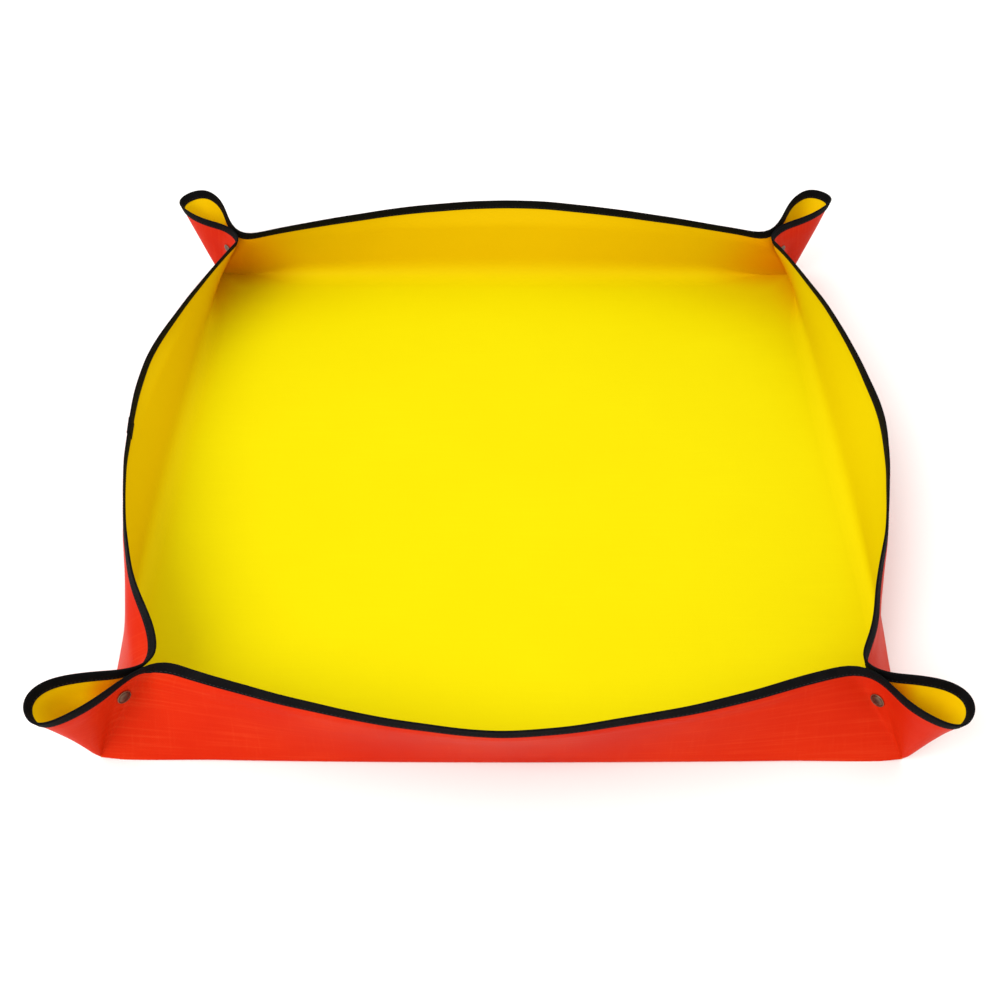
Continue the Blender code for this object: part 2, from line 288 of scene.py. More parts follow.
# Places where the real sheet stands a few millimetres off the even curve: centre, reach, shift, and the
# two heights between which it sets in. The shifts of the rims are clear of the snaps.
nudges = (
    ((-0.315, 0.075), 0.080, (-0.0075, 0.0, 0.0), 0.056, 0.074),
    ((-0.270, -0.248), 0.048, (0.0115, 0.0, 0.0), 0.056, 0.074),
    ((-0.320, -0.320), 0.042, (0.0, 0.0014, 0.0014), 0.0, 0.074),
    ((0.297, -0.236), 0.030, (0.0095, 0.0, 0.0), 0.056, 0.074),
    ((0.318, 0.010), 0.070, (0.0028, 0.0, 0.0), 0.056, 0.074),
    ((0.322, -0.322), 0.046, (-0.0022, 0.0030, 0.0024), 0.0, 0.074),
    ((0.262, 0.262), 0.055, (0.0, 0.0030, 0.0030), 0.056, 0.074),
    ((-0.262, 0.262), 0.050, (0.0, 0.0010, 0.0015), 0.056, 0.074),
    ((-0.318, 0.318), 0.045, (0.0030, -0.0005, -0.0012), 0.0, 0.074),
    ((0.0, 0.306), 0.120, (0.0, 0.0070, 0.0014), 0.056, 0.074),
    ((0.190, -0.318), 0.085, (0.0, -0.0045, -0.0012), 0.056, 0.074),
    ((-0.205, -0.318), 0.075, (0.0, -0.0034, -0.0010), 0.056, 0.074),
)


def settle(points):
    # the floor's corners turn up softly, the walls' feet lie a little out of line, the rims stray
    moved = points.copy()
    for x in (-1, 1):
        for y in (-1, 1):
            diagonal = unit(np.array((x, y, 0.0)))
            corner = diagonal * halfFloor * math.sqrt(2) + up * midHeight
            near = np.exp(-((np.linalg.norm(points - corner, axis=-1) / mat["cornerReach"]) ** 2))
            way = up * mat["cornerUp"] - diagonal * mat["cornerIn"]
            moved = moved + way * (mat["cornerLift"] * near)[..., None]
    low = np.clip(1 - points[..., 2] / mat["toeHeight"], 0, 1) ** 2
    for side in sideNames:
        along, outward = sideAxes(side)
        share = np.clip((points @ along) / halfFloor, -1, 1)
        size = np.polyval(toeCurves[side], share)
        near = smooth((points @ outward - halfFloor + mat["toeReach"]) / mat["toeReach"])
        moved = moved + outward * (size * near * low)[..., None]
    for centre, reach, shift, setsIn, full in nudges:
        near = np.exp(-((np.linalg.norm(points[..., :2] - np.array(centre), axis=-1) / reach) ** 2))
        near = near * smooth((points[..., 2] - setsIn) / (full - setsIn))
        moved = moved + np.array(shift) * near[..., None]
    return moved


def surface(side, q, h):
    return settle(plainSurface(side, q, h))


def waves(side, q, h):
    outward = sideAxes(side)[1]
    number = sideNames.index(side)
    height = 0
    for share, pace, turn, start, rise in mat["waves"]:
        height = height + share * np.sin(q * pace + turn * number + start + rise * h)
    before, length = mat["waveRunsOut"]
    calm = smooth((pinchAt - before - np.abs(q)) / length) * smooth(h * mat["waveRise"])
    return outward * (mat["waveHeight"] * height * calm)[..., None]


def surfaceNormals(side, q, h):
    step, halfRise, lowest = 0.0004, 0.004, 0.001
    across = surface(side, q + step, h) - surface(side, q - step, h)
    low = np.maximum(h - halfRise, lowest)
    rising = surface(side, q, low + 2 * halfRise) - surface(side, q, low)
    return settleRidge(side, q, unit(np.cross(across, rising)))


def settleRidge(side, q, normals):
    # both halves of a cone share the normal at its ridge, so they meet without a step
    for end in (-1, 1):
        away = cornerAxes(side, end)[3]
        shared = unit(normals - away * (normals @ away)[..., None])
        normals = np.where((end * q > halfFlat - 1e-6)[..., None], shared, normals)
    return normals


def flatPlace(side, q, h):
    # where a point of the side lies on the sheet before folding
    along, outward = sideAxes(side)
    footAt = np.clip(q / pinchAt, -1, 1) * halfFloor
    past = np.maximum(np.abs(q) - pinchAt, 0)
    angle = np.arctan2(mat["wallWidth"], ear["pinchInset"] - past)
    share = h * flatReach(angle) * np.sin(angle) / mat["wallWidth"]
    onEdge = footAt + (q - footAt) * share
    place = along * onEdge[..., None] + outward * (halfFloor + mat["wallWidth"] * share)[..., None]
    return place[..., :2]


def rimTable(side):
    # places along the side's edge and the length of the rim up to each
    q = np.linspace(-halfFlat, halfFlat, mat["rimSteps"] + 1)
    steps = np.linalg.norm(np.diff(surface(side, q, 1.0), axis=0), axis=1)
    return q, np.concatenate([[0], np.cumsum(steps)])


def rimStretch(side, q):
    # how much longer a step down the ruling is than one square to the rim
    step, below = 0.0005, 0.1
    across = unit(surface(side, q + step, 1.0) - surface(side, q - step, 1.0))
    ruling = surface(side, q, 1.0) - surface(side, q, 1 - below)
    length = np.linalg.norm(ruling, axis=-1) / below
    slope = np.sum(across * unit(ruling), axis=-1)
    return 1 / (np.sqrt(1 - slope**2) * length)


# Meshes from grids of points

sharpAngle = math.radians(50)


def gridFaces(rows, columns, offset=0, flip=False):
    faces = []
    for i in range(rows - 1):
        for j in range(columns - 1):
            a = offset + i * columns + j
            face = (a, a + 1, a + columns + 1, a + columns)
            faces.append(face[::-1] if flip else face)
    return faces


def addMesh(name, points, faces, uvs, materials, indices=None):
    mesh = bpy.data.meshes.new(name)
    mesh.from_pydata([tuple(p) for p in points], [], faces)
    layer = mesh.uv_layers.new(name="flat")
    corners = np.empty(len(mesh.loops), np.int32)
    mesh.loops.foreach_get("vertex_index", corners)
    layer.data.foreach_set("uv", np.asarray(uvs, np.float32)[corners].ravel())
    for one in materials:
        mesh.materials.append(one)
    if indices is not None:
        mesh.polygons.foreach_set("material_index", indices)
    mesh.shade_smooth()
    mesh.set_sharp_from_angle(angle=sharpAngle)
    made = bpy.data.objects.new(name, mesh)
    bpy.context.scene.collection.objects.link(made)
    return made


def sheetMesh(name, points, normals, places, thin=None):
    # a closed sheet round a grid of middle points, red where the normals point, yellow on the other side
    rows, columns = points.shape[:2]
    half = mat["thickness"] / 2 * (np.ones((rows, columns)) if thin is None else thin)
    outer = (points + normals * half[..., None]).reshape(-1, 3)
    inner = (points - normals * half[..., None]).reshape(-1, 3)
    count = rows * columns
    faces = gridFaces(rows, columns) + gridFaces(rows, columns, count, flip=True)
    edge = list(range(columns))
    edge += [i * columns + columns - 1 for i in range(1, rows)]
    edge += [(rows - 1) * columns + i for i in range(columns - 2, -1, -1)]
    edge += [i * columns for i in range(rows - 2, 0, -1)]
    for a, b in zip(edge, edge[1:] + edge[:1]):
        faces.append((b, a, a + count, b + count))
    flat = np.concatenate([places.reshape(-1, 2)] * 2)
    indices = [0] * ((rows - 1) * (columns - 1)) + [1] * ((rows - 1) * (columns - 1)) + [0] * len(edge)
    return addMesh(name, np.concatenate([outer, inner]), faces, flat, (redFace, yellowFace), indices)


# Materials

class Wire:
    # a socket that can stand in a sum, such as 1 - mask
    def __init__(self, tree, socket=None):
        self.tree, self.socket = tree, socket

    def node(self, kind, settings=None, inputs=None, output=0):
        made = self.tree.nodes.new("ShaderNode" + kind)
        for name, value in (settings or {}).items():
            setattr(made, name, value)
        for name, value in (inputs or {}).items():
            if isinstance(value, Wire):
                self.tree.links.new(value.socket, made.inputs[name])
            else:
                made.inputs[name].default_value = value
        return Wire(self.tree, made.outputs[output])

    def maths(self, operation, *values):
        return self.node("Math", {"operation": operation}, dict(enumerate(values)))

    def __add__(self, other):
        return self.maths("ADD", self, other)

    def __sub__(self, other):
        return self.maths("SUBTRACT", self, other)

    def __rsub__(self, other):
        return self.maths("SUBTRACT", other, self)

    def __mul__(self, other):
        return self.maths("MULTIPLY", self, other)

    __radd__ = __add__
    __rmul__ = __mul__

    def sine(self):
        return self.maths("SINE", self)

    def size(self):
        return self.maths("ABSOLUTE", self)

    def largest(self, other):
        return self.maths("MAXIMUM", self, other)

    def smallest(self, other):
        return self.maths("MINIMUM", self, other)

    def clamp(self):
        return self.node("Clamp", {}, {0: self})

    def mix(self, one, two):
        # colour one where this is 0, two where it is 1
        return self.node("Mix", {"data_type": "RGBA"}, {0: self, 6: one, 7: two}, 2)

    def range(self, low, high, toLow=0.0, toHigh=1.0):
        return self.node("MapRange", {}, {0: self, 1: low, 2: high, 3: toLow, 4: toHigh})

    def ease(self, low, high):
        return self.node("MapRange", {"interpolation_type": "SMOOTHSTEP"}, {0: self, 1: low, 2: high})

    def noise(self, place, scale, detail, roughness=0.5):
        # scale is one number, or one for each way
        scales = scale if isinstance(scale, tuple) else (scale, scale, scale)
        placed = self.node("Mapping", {}, {"Vector": place, "Scale": scales})
        inputs = {"Vector": placed, "Scale": 1.0, "Detail": detail, "Roughness": roughness}
        return self.node("TexNoise", {}, inputs)


def newMaterial(name, looks, build):
    made = bpy.data.materials.new(name)
    made.use_nodes = True
    shader = made.node_tree.nodes["Principled BSDF"]
    for socket, value in looks.items():
        shader.inputs[socket].default_value = value
    wire = Wire(made.node_tree)
    for socket, value in build(wire).items():
        made.node_tree.links.new(value.socket, shader.inputs[socket])
    return made


coated = {
    "red": (0.575, 0.0235, 0.0030),
    "redDeep": (0.50, 0.0135, 0.0022),
    # painted sheen: a lighter red laid along the streaks in place of gloss
    "redPaintedSheen": (0.63, 0.055, 0.0150),
    "yellow": (0.715, 0.622, 0.0005),
    "yellowDeep": (0.706, 0.603, 0.0004),
    # painted sheen: a lighter yellow laid along the streaks in place of gloss
    "yellowPaintedSheen": (0.728, 0.640, 0.0012),
    # painted shade: the yellow is painted deeper and more orange where the sheet stands up, each wall
    # lighter or deeper by how the light falls on it, deepest in the floor's corners and orange inside the
    # ears
    "yellowWallShades": {"front": (0.70, 0.450, 0.0005), "right": (0.69, 0.520, 0.0005),
                    "back": (0.67, 0.395, 0.0005), "left": (0.74, 0.465, 0.0005)},
    "yellowCornerShade": (0.76, 0.235, 0.0005),
    "yellowEarShade": (0.83, 0.540, 0.0008),
    "shadeShare": 0.80,
    "shadeInside": 0.030,  # the painted shade sets in this far inside the fold
    "shadeOutside": 0.026,
    "cornerReach": 0.100,
    "earFrom": 0.004,
    "shadeStep": 0.012,  # where one side's painted shade gives way to the next
    "weavePitch": 0.0019,
    "weaveDepth": 0.00010,
    "weaveStrength": 0.45,
    "streakLength": 0.075,
    "streakWidth": 0.0022,
    "cloudScale": 9.0,
    "grainScale": 900.0,
    "redRoughness": 0.42,
    "redShine": 0.025,
    "yellowRoughness": 0.55,
    "yellowShine": 0.02,
}


# The third colour is a painted sheen, laid lighter along the streaks and weave in place of gloss.
def coatedFace(base, deep, wearAndSheen, roughness, weaveShare, walls=None):
    def build(wire):
        flat = wire.node("UVMap", {"uv_map": "flat"})
        across = wire.node("SeparateXYZ", {}, {0: flat}, 0)
        down = wire.node("SeparateXYZ", {}, {0: flat}, 1)
        turns = 2 * math.pi / coated["weavePitch"]
        weave = (across * turns).sine() * (down * turns).sine()
        ribs = (across * (turns * 2)).sine() * 0.25 + (down * (turns * 2)).sine() * 0.35
        long, thin = 1 / coated["streakLength"], 1 / coated["streakWidth"]
        weft = wire.noise(flat, (long, thin, 1), 3.0, 0.6)
        warp = wire.noise(flat, (thin, long * 2, 1), 3.0, 0.6)
        cloud = wire.noise(flat, coated["cloudScale"], 3.0, 0.55)
        grain = wire.noise(flat, coated["grainScale"], 2.0)
        soft = cloud.range(0.35, 0.65)
        colour = (soft * 0.6 + weft * 0.4).mix((*deep, 1), (*base, 1))
        # Painted sheen: lighter streaks along the weave stand in for the coating's glossy reflections.
        paintedSheenMask = weft.range(0.50, 0.78, 0.0, 0.60) + warp.range(0.55, 0.80, 0.0, 0.35) + weave * 0.06
        colour = (paintedSheenMask * soft).clamp().mix(colour, (*wearAndSheen, 1))
        # Painted shade: where the sheet stands up its yellow is painted deeper and more orange in place
        # of shading, each wall by how the light falls on it, the right wall lightest and the back wall
        # deepest
        if walls:
            edgeWay, otherWay = across.size().largest(down.size()), across.size().smallest(down.size())
            wallShadeMask = edgeWay.ease(halfFloor - coated["shadeInside"], halfFloor + coated["shadeOutside"])
            # painted shade, deepest and most orange in the floor's corners
            cornerShadeMask = otherWay.ease(halfFloor - coated["cornerReach"], halfFloor) * wallShadeMask
            # painted shade: the ears' mouths are painted a more orange yellow
            inEar = otherWay.ease(halfFloor - coated["earFrom"], halfFloor + coated["shadeStep"])
            shadedWallColour = (*walls["left"], 1)
            ways = (
                ("right", across - down.size()),
                ("back", down - across.size()),
                ("front", down * -1 - across.size()),
            )
            for name, way in ways:
                shadedWallColour = way.ease(0.0, coated["shadeStep"]).mix(shadedWallColour, (*walls[name], 1))
            colour = (wallShadeMask * coated["shadeShare"]).mix(colour, shadedWallColour)
            colour = (cornerShadeMask * coated["shadeShare"]).mix(colour, (*coated["yellowCornerShade"], 1))
            colour = (inEar * wallShadeMask).mix(colour, (*coated["yellowEarShade"], 1))
        rough = roughness + (weft - 0.5) * 0.16 + (grain - 0.5) * 0.10
        patchy = cloud.range(0.30, 0.70, 0.35, 1.0)
        height = (weave * 0.5 + ribs) * patchy * weaveShare
        height = height + (weft + warp * 0.7 - 0.85) * 0.9 + (grain - 0.5) * 0.25
        inputs = {"Strength": coated["weaveStrength"], "Distance": coated["weaveDepth"], "Height": height}
        bump = wire.node("Bump", {}, inputs)
        return {"Base Color": colour, "Roughness": rough, "Normal": bump}
    return build


tape = {
    "width": 0.0083,
    "thickness": 0.00042,
    "puff": 0.00008,
    "play": 0.00005,  # between the sheet and the tape
    "edgeGap": 0.00015,
    "bendSteps": 10,
    "limbSteps": 8,
    "ribPitch": 0.00075,
    "stitchPitch": 0.0032,
    "stitchLength": 0.0024,
    "stitchInset": 0.0014,
    "threadRadius": 0.00019,
    "lapSide": "left",  # where the tape's end lies over its start
    "lapFrom": 0.007,
    "lapLength": 0.019,
    "lapWider": 0.0006,
    "lapSteps": 14,
    "stitchEnd": 0.001,  # how far the stitches stop before a tip or the lap's ends
    "black": (0.0018, 0.0018, 0.0022),
    "faded": (0.0056, 0.0054, 0.0058),
    "thread": (0.010, 0.010, 0.011),
    "threadLight": (0.030, 0.029, 0.030),
    "cloudScale": 60.0,
    "fuzzScale": 2600.0,
    "ribStrength": 0.6,
    "ribDepth": 0.00012,
    "twist": (9000, 5000),  # how fast the thread's strands turn along it and around it
    "twistStrength": 0.5,
    "twistDepth": 0.00006,
    "shine": 0.07,
    "threadShine": 0.2,
    "threadRoughness": 0.6,
}


def tapeLooks(wire):
    flat = wire.node("UVMap", {"uv_map": "flat"})
    along = wire.node("SeparateXYZ", {}, {0: flat}, 0)
    across = wire.node("SeparateXYZ", {}, {0: flat}, 1)
    ribs = (along * (2 * math.pi / tape["ribPitch"])).sine()
    yarns = (across * (2 * math.pi / (tape["ribPitch"] * 0.8))).sine()
    cloud = wire.noise(flat, tape["cloudScale"], 3.0)
    fuzz = wire.noise(flat, tape["fuzzScale"], 2.0)
    edge = across.size().range(tape["width"] * 0.80, tape["width"], 0.0, 0.5)
    wearAndSheen = (cloud.range(0.45, 0.75) * 0.6 + ribs * 0.12 + edge).clamp()
    colour = wearAndSheen.mix((*tape["black"], 1), (*tape["faded"], 1))
    height = ribs * 0.6 + ribs * yarns * 0.4 + (fuzz - 0.5) * 0.5
    inputs = {"Strength": tape["ribStrength"], "Distance": tape["ribDepth"], "Height": height}
    bump = wire.node("Bump", {}, inputs)
    return {"Base Color": colour, "Roughness": 0.80 + (fuzz - 0.5) * 0.2, "Normal": bump}


def threadLooks(wire):
    flat = wire.node("UVMap", {"uv_map": "flat"})
    along = wire.node("SeparateXYZ", {}, {0: flat}, 0)
    across = wire.node("SeparateXYZ", {}, {0: flat}, 1)
    length, around = tape["twist"]
    twist = (along * length + across * around).sine()
    colour = twist.range(-1, 1).mix((*tape["thread"], 1), (*tape["threadLight"], 1))
    inputs = {"Strength": tape["twistStrength"], "Distance": tape["twistDepth"], "Height": twist}
    bump = wire.node("Bump", {}, inputs)
    return {"Base Color": colour, "Normal": bump}


layerOuter = ear["snapGap"] + mat["thickness"] / 2
layerInner = ear["snapGap"] - mat["thickness"] / 2
snap = {
    "brown": (0.115, 0.050, 0.030),
    "dark": (0.040, 0.019, 0.013),
    "wearAndSheen": (0.36, 0.22, 0.13),
    "cloudScale": 420.0,
    "speckScale": 2400.0,
    "pitStrength": 0.25,
    "pitDepth": 0.00012,
    "metallic": 0.7,
    "steps": 72,
    "gap": 0.0003,
    "capRadius": 0.0056,
    "capHeight": 0.0018,
    "capRoll": 0.00045,  # radius of the rolled edge
    "capShank": 0.0016,
    "flareRadius": 0.0023,
    "flareThickness": 0.00025,
    "socketRadius": 0.00475,
    "lipRadius": 0.0024,
    "lipHeight": 0.0004,
    "roomRadius": 0.0027,
    "domeSteps": 12,
    "socketPlate": 0.0005,
    "studRadius": 0.0045,
    "studPlate": 0.00115,
    "neckRadius": 0.0018,
    "headRadius": 0.0021,
    "headHeight": 0.0010,
    "studWall": 0.0005,
    "postRadius": 0.0042,
    "postPlate": 0.0007,
    "postShank": 0.0010,
    "rounding": 0.0003,
}


def bronzeLooks(wire):
    place = wire.node("TexCoord", {}, {}, 3)
    cloud = wire.noise(place, snap["cloudScale"], 5.0, 0.65)
    speck = wire.noise(place, snap["speckScale"], 3.0)
    edge = wire.node("NewGeometry", {}, {}, 7)
    rubbed = edge.range(0.50, 0.56) * 0.8
    colour = cloud.range(0.35, 0.65).mix((*snap["dark"], 1), (*snap["brown"], 1))
    colour = (rubbed + speck.range(0.62, 0.80) * 0.25).mix(colour, (*snap["wearAndSheen"], 1))
    rough = 0.36 + (cloud - 0.5) * 0.35 + (speck - 0.5) * 0.15
    pits = cloud + speck * 0.5
    inputs = {"Strength": snap["pitStrength"], "Distance": snap["pitDepth"], "Height": pits}
    bump = wire.node("Bump", {}, inputs)
    return {"Base Color": colour, "Roughness": rough, "Normal": bump}


redFace = newMaterial("coatedRed", {"Specular IOR Level": coated["redShine"]}, coatedFace(
    coated["red"], coated["redDeep"], coated["redPaintedSheen"], coated["redRoughness"], 1.0))
yellowFace = newMaterial("coatedYellow", {"Specular IOR Level": coated["yellowShine"]}, coatedFace(
    coated["yellow"], coated["yellowDeep"], coated["yellowPaintedSheen"], coated["yellowRoughness"], 0.5,
    coated["yellowWallShades"]))
blackTape = newMaterial("blackTape", {"Specular IOR Level": tape["shine"]}, tapeLooks)
threadConstants = {"Specular IOR Level": tape["threadShine"], "Roughness": tape["threadRoughness"]}
blackThread = newMaterial("blackThread", threadConstants, threadLooks)
bronze = newMaterial("antiqueBronze", {"Metallic": snap["metallic"]}, bronzeLooks)
print("materials made")


# The floor and the walls

def creaseAt(side, q):
    first, last = mat["creaseEnds"]
    share = np.abs(q) / pinchAt
    return mat["creaseReach"][side] * (1 - smooth((share - first) / (last - first))) + mat["creaseLeast"]


wallSteps = np.linspace(-boundaryAt, boundaryAt, mat["wallColumns"] + 1)
rimInset = tape["thickness"] + mat["thickness"] / 2 + tape["edgeGap"]


def makeFloor():
    feet = np.concatenate([[-halfFloor], wallSteps / pinchAt * halfFloor, [halfFloor]])
    pulls = {side: np.concatenate([[0], creaseAt(side, wallSteps), [0]]) for side in sideNames}
    x, y = np.meshgrid(feet, feet)
    points = np.stack([x, y, np.full_like(x, midHeight)], axis=-1)
    points[0, :, 1] += pulls["front"]
    points[-1, :, 1] -= pulls["back"]
    points[:, 0, 0] += pulls["left"]
    points[:, -1, 0] -= pulls["right"]
    places = points[..., :2].copy()
    points = settle(points)
    downward = np.broadcast_to(-up, points.shape)
    made = sheetMesh("sheet_floor", points[::-1], downward, places[::-1])
    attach(made, "floor")
    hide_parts("floor_panel")


def makeWall(side):
    along, outward = sideAxes(side)
    q = wallSteps
    crease = creaseAt(side, q)
    foot = along * (q / pinchAt * halfFloor)[:, None] + outward * halfFloor + up * midHeight
    ruling = unit(plainSurface(side, q, mat["creaseAim"]) - foot)
    points, places = [], []
    for t in np.linspace(0, 1, mat["creaseRows"], endpoint=False):
        low = foot - outward * crease[:, None]
        high = foot + ruling * crease[:, None]
        points.append(settle((1 - t) ** 2 * low + 2 * t * (1 - t) * foot + t**2 * high))
        places.append(flatPlace(side, q, (2 * t - 1) * crease / mat["wallWidth"]))
    length = np.linalg.norm(plainSurface(side, q, 1.0) - foot, axis=-1)
    first = crease / length
    last = 1 - rimInset * rimStretch(side, q)
    for t in np.linspace(0, 1, mat["wallRows"]):
        h = first + (last - first) * t
        points.append(surface(side, q, h))
        places.append(flatPlace(side, q, h))
    points, places = np.array(points), np.array(places)
    normals = gridNormals(points)
    normals[0] = -up
    made = sheetMesh(f"sheet_{side}_wall", points, normals, places)
    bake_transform(made)
    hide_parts(side + "_wall_panel")
    width = 2 * halfFloor * ear["boundaryShare"]
    # the wall's ends slant in towards the pinches, which leaves 0.94 of the strip
    width * mat["wallWidth"] * 0.94


def gridNormals(points):
    down = np.gradient(points, axis=0)
    across = np.gradient(points, axis=1)
    return unit(np.cross(across, down))


def earSteps(end):
    steps = np.linspace(0, 1, ear["columns"] + 1)
    q = boundaryAt + (halfFlat - boundaryAt) * steps
    return q if end > 0 else -q[::-1]


def earBend(side, end):
    # where the fold beside the pinch starts and ends, for the pieces that cross it
    along = sideAxes(side)[0]
    corner, line, out = cornerAxes(side, end)[:3]
    wallWay = end * along
    wallWay = unit(wallWay - line * (wallWay @ line))
    way = unit(wallWay + out)
    middle = corner - along * (end * ear["snapGap"] * math.sqrt(2))
    return tuple(middle - way * ear["hingeBefore"]), tuple(middle + way * ear["hingeAfter"])


def makeEarHalf(side, end):
    name = f"{cornerName(side, end)}_ear_{side}_half"
    q = earSteps(end)
    inEar = np.abs(q) > pinchAt
    first = np.where(inEar, ear["footGap"], 0.0)
    last = 1 - rimInset * rimStretch(side, q)
    points, places, thin = [], [], []
    for t in np.linspace(0, 1, ear["rows"]) ** ear["rowPower"]:
        h = first + (last - first) * t
        points.append(surface(side, q, h))
        places.append(flatPlace(side, q, h))
        thin.append(np.where(inEar, smooth(ear["footThin"] + h * ear["footThicken"]), 1))
    points, places = np.array(points), np.array(places)
    normals = settleRidge(side, q, gridNormals(points))
    made = sheetMesh("sheet_" + name, points, normals, places, np.array(thin))
    start, finish = earBend(side, end)
    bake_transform(made)
    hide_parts(name)
    # half of the corner square less its rounding, and the strip between the wall's piece and the pinch
    square = mat["wallWidth"] ** 2 / 2 - (1 - math.pi / 4) * mat["cornerRadius"] ** 2 / 2
    stripWidth = ear["pinchInset"] + halfFloor * (1 - ear["boundaryShare"]) + pinchAt - boundaryAt
    strip = stripWidth * mat["wallWidth"] / 2
    square + strip


# The binding, a tape folded over the edge and sewn through

def tapeSection(lift, wider):
    # the folded strip's outer face, then its inner face: depth below the rim, distance off the sheet's
    # middle and place across the tape
    inner = mat["thickness"] / 2 + tape["play"] + lift
    outer = inner + tape["thickness"]
    width = tape["width"] + wider
    bend = np.linspace(math.pi / 2, -math.pi / 2, tape["bendSteps"] + 1)
    limb = np.linspace(width, outer, tape["limbSteps"] + 1)[:-1]
    puff = tape["puff"] * np.sin(np.linspace(0, math.pi, tape["limbSteps"]))
    outside = [(d, outer + p, d) for d, p in zip(limb, puff)]
    outside += [(outer * (1 - math.cos(a)) - lift, outer * math.sin(a), outer * a) for a in bend]
    outside += [(d, -outer - p, -d) for d, p in zip(limb[::-1], puff[::-1])]
    fold = width + tape["thickness"] * 0.3
    middle = inner + tape["thickness"] / 2
    inside = [(fold, middle, width)] + [(d, inner, d) for d in limb]
    inside += [(outer - inner * math.cos(a) - lift, inner * math.sin(a), inner * a) for a in bend]
    inside += [(d, -inner, -d) for d in limb[::-1]] + [(fold, -middle, -width)]
    return outside, inside


def tapeMesh(name, side, q, lift=0.0, wider=0.0):
    outside, inside = tapeSection(lift, wider)
    stretch = rimStretch(side, q)
    table, lengths = rimTable(side)
    along = np.interp(q, table, lengths)
    rings, places = [], []
    for depth, off, across in outside + inside[::-1]:
        h = 1 - depth * stretch
        rings.append(surface(side, q, h) + surfaceNormals(side, q, h) * off)
        places.append(np.stack([along, np.full_like(q, across)], axis=-1))
    points, places = np.array(rings), np.array(places)
    count, columns = points.shape[:2]
    faces = []
    for i in range(count):
        for j in range(columns - 1):
            a, b = i * columns + j, (i + 1) % count * columns + j
            faces.append((a, b, b + 1, a + 1))
    for j, flip in ((0, True), (columns - 1, False)):
        ring = [i * columns + j for i in range(count)]
        for face in capFaces(ring[:len(outside)], ring[len(outside):][::-1]):
            faces.append(face[::-1] if flip else face)
    return addMesh(name, points.reshape(-1, 3), faces, places.reshape(-1, 2), (blackTape,))


def capFaces(outer, inner):
    # the end of the folded strip, filled across its thickness
    faces, j = [], 0
    for i in range(len(outer) - 1):
        target = round((i + 1) * (len(inner) - 1) / (len(outer) - 1))
        face = [outer[i], outer[i + 1], inner[target]]
        if target > j + 1:
            face.append(inner[j + 1])
        if target > j:
            face.append(inner[j])
        faces.append(tuple(face))
        j = target
    return faces


def stitchMesh(name, side, q0, q1, lift=0.0, wider=0.0):
    table, lengths = rimTable(side)
    first, last = np.interp((q0, q1), table, lengths)
    count = max(round((last - first) / tape["stitchPitch"]), 1)
    middles = first + (np.arange(count) + 0.5) * (last - first) / count
    sides, rings, step = 6, 5, 0.0003
    off = mat["thickness"] / 2 + tape["thickness"] + tape["puff"] * 0.45 + lift
    depth = tape["width"] + wider - tape["stitchInset"]
    points, places = [], []
    for face in (-1, 1):
        for share in np.linspace(-1, 1, rings):
            reach = middles + share * tape["stitchLength"] / 2
            q = np.interp(reach, lengths, table)
            h = 1 - depth * rimStretch(side, q)
            normal = surfaceNormals(side, q, h)
            rise = off + tape["threadRadius"] * (0.35 - 0.9 * share**4)
            centre = surface(side, q, h) + normal * (face * rise)
            ahead = unit(surface(side, q + step, h) - surface(side, q - step, h))
            wide = unit(np.cross(normal, ahead))
            radius = tape["threadRadius"] * (1 - 0.75 * share**6)
            for a in np.arange(sides) * 2 * math.pi / sides:
                points.append(centre + (wide * math.cos(a) + normal * math.sin(a)) * radius)
                places.append(np.stack([reach, np.full_like(q, a * tape["threadRadius"])], axis=-1))
    index = np.arange(2 * rings * sides * count).reshape(2, rings, sides, count)
    faces = []
    for f in range(2):
        for n in range(count):
            loops = [[int(index[f, k, m, n]) for m in range(sides)] for k in range(rings)]
            for one, two in zip(loops, loops[1:]):
                for m in range(sides):
                    after = (m + 1) % sides
                    faces.append((one[m], one[after], two[after], two[m]))
            faces += [tuple(loops[0][::-1]), tuple(loops[-1])]
    points, places = np.array(points).reshape(-1, 3), np.array(places).reshape(-1, 2)
    return addMesh(name, points, faces, places, (blackThread,))


def makeWallTape(side):
    made = tapeMesh(f"binding_{side}_wall", side, wallSteps)
    stitches = stitchMesh(f"stitches_{side}_wall", side, -boundaryAt, boundaryAt)
    for piece in (made, stitches):
        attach(piece, side + "_wall")
    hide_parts(side + "_wall_binding")


def makeEarTape(side, end):
    name = f"{cornerName(side, end)}_ear_{side}_half"
    q = earSteps(end)
    made = tapeMesh("binding_" + name, side, q)
    inner, tip = boundaryAt, halfFlat - tape["stitchEnd"]
    span = (inner, tip) if end > 0 else (-tip, -inner)
    stitches = stitchMesh("stitches_" + name, side, *span)
    start, finish = earBend(side, end)
    for piece in (made, stitches):
        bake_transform(piece)
    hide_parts(name + "_binding")


def makeLap():
    # the tape's end lies over its start, sewn down through both
    side, first = tape["lapSide"], tape["lapFrom"]
    last = first + tape["lapLength"]
    lift, wider, end = tape["thickness"] + tape["puff"], tape["lapWider"], tape["stitchEnd"]
    q = np.linspace(first, last, tape["lapSteps"] + 1)
    pieces = (
        tapeMesh("binding_lap", side, q, lift, wider),
        stitchMesh("stitches_lap", side, first + end, last - end, lift, wider),
    )
    for piece in pieces:
        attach(piece, side + "_wall")


# The snaps. Heights are from the plane between the two layers, towards the layer that carries the piece.

def arc(radius, height, size, first, last, steps=6):
    angles = np.radians(np.linspace(first, last, steps + 1))
    return [(radius + size * math.cos(a), height + size * math.sin(a)) for a in angles]


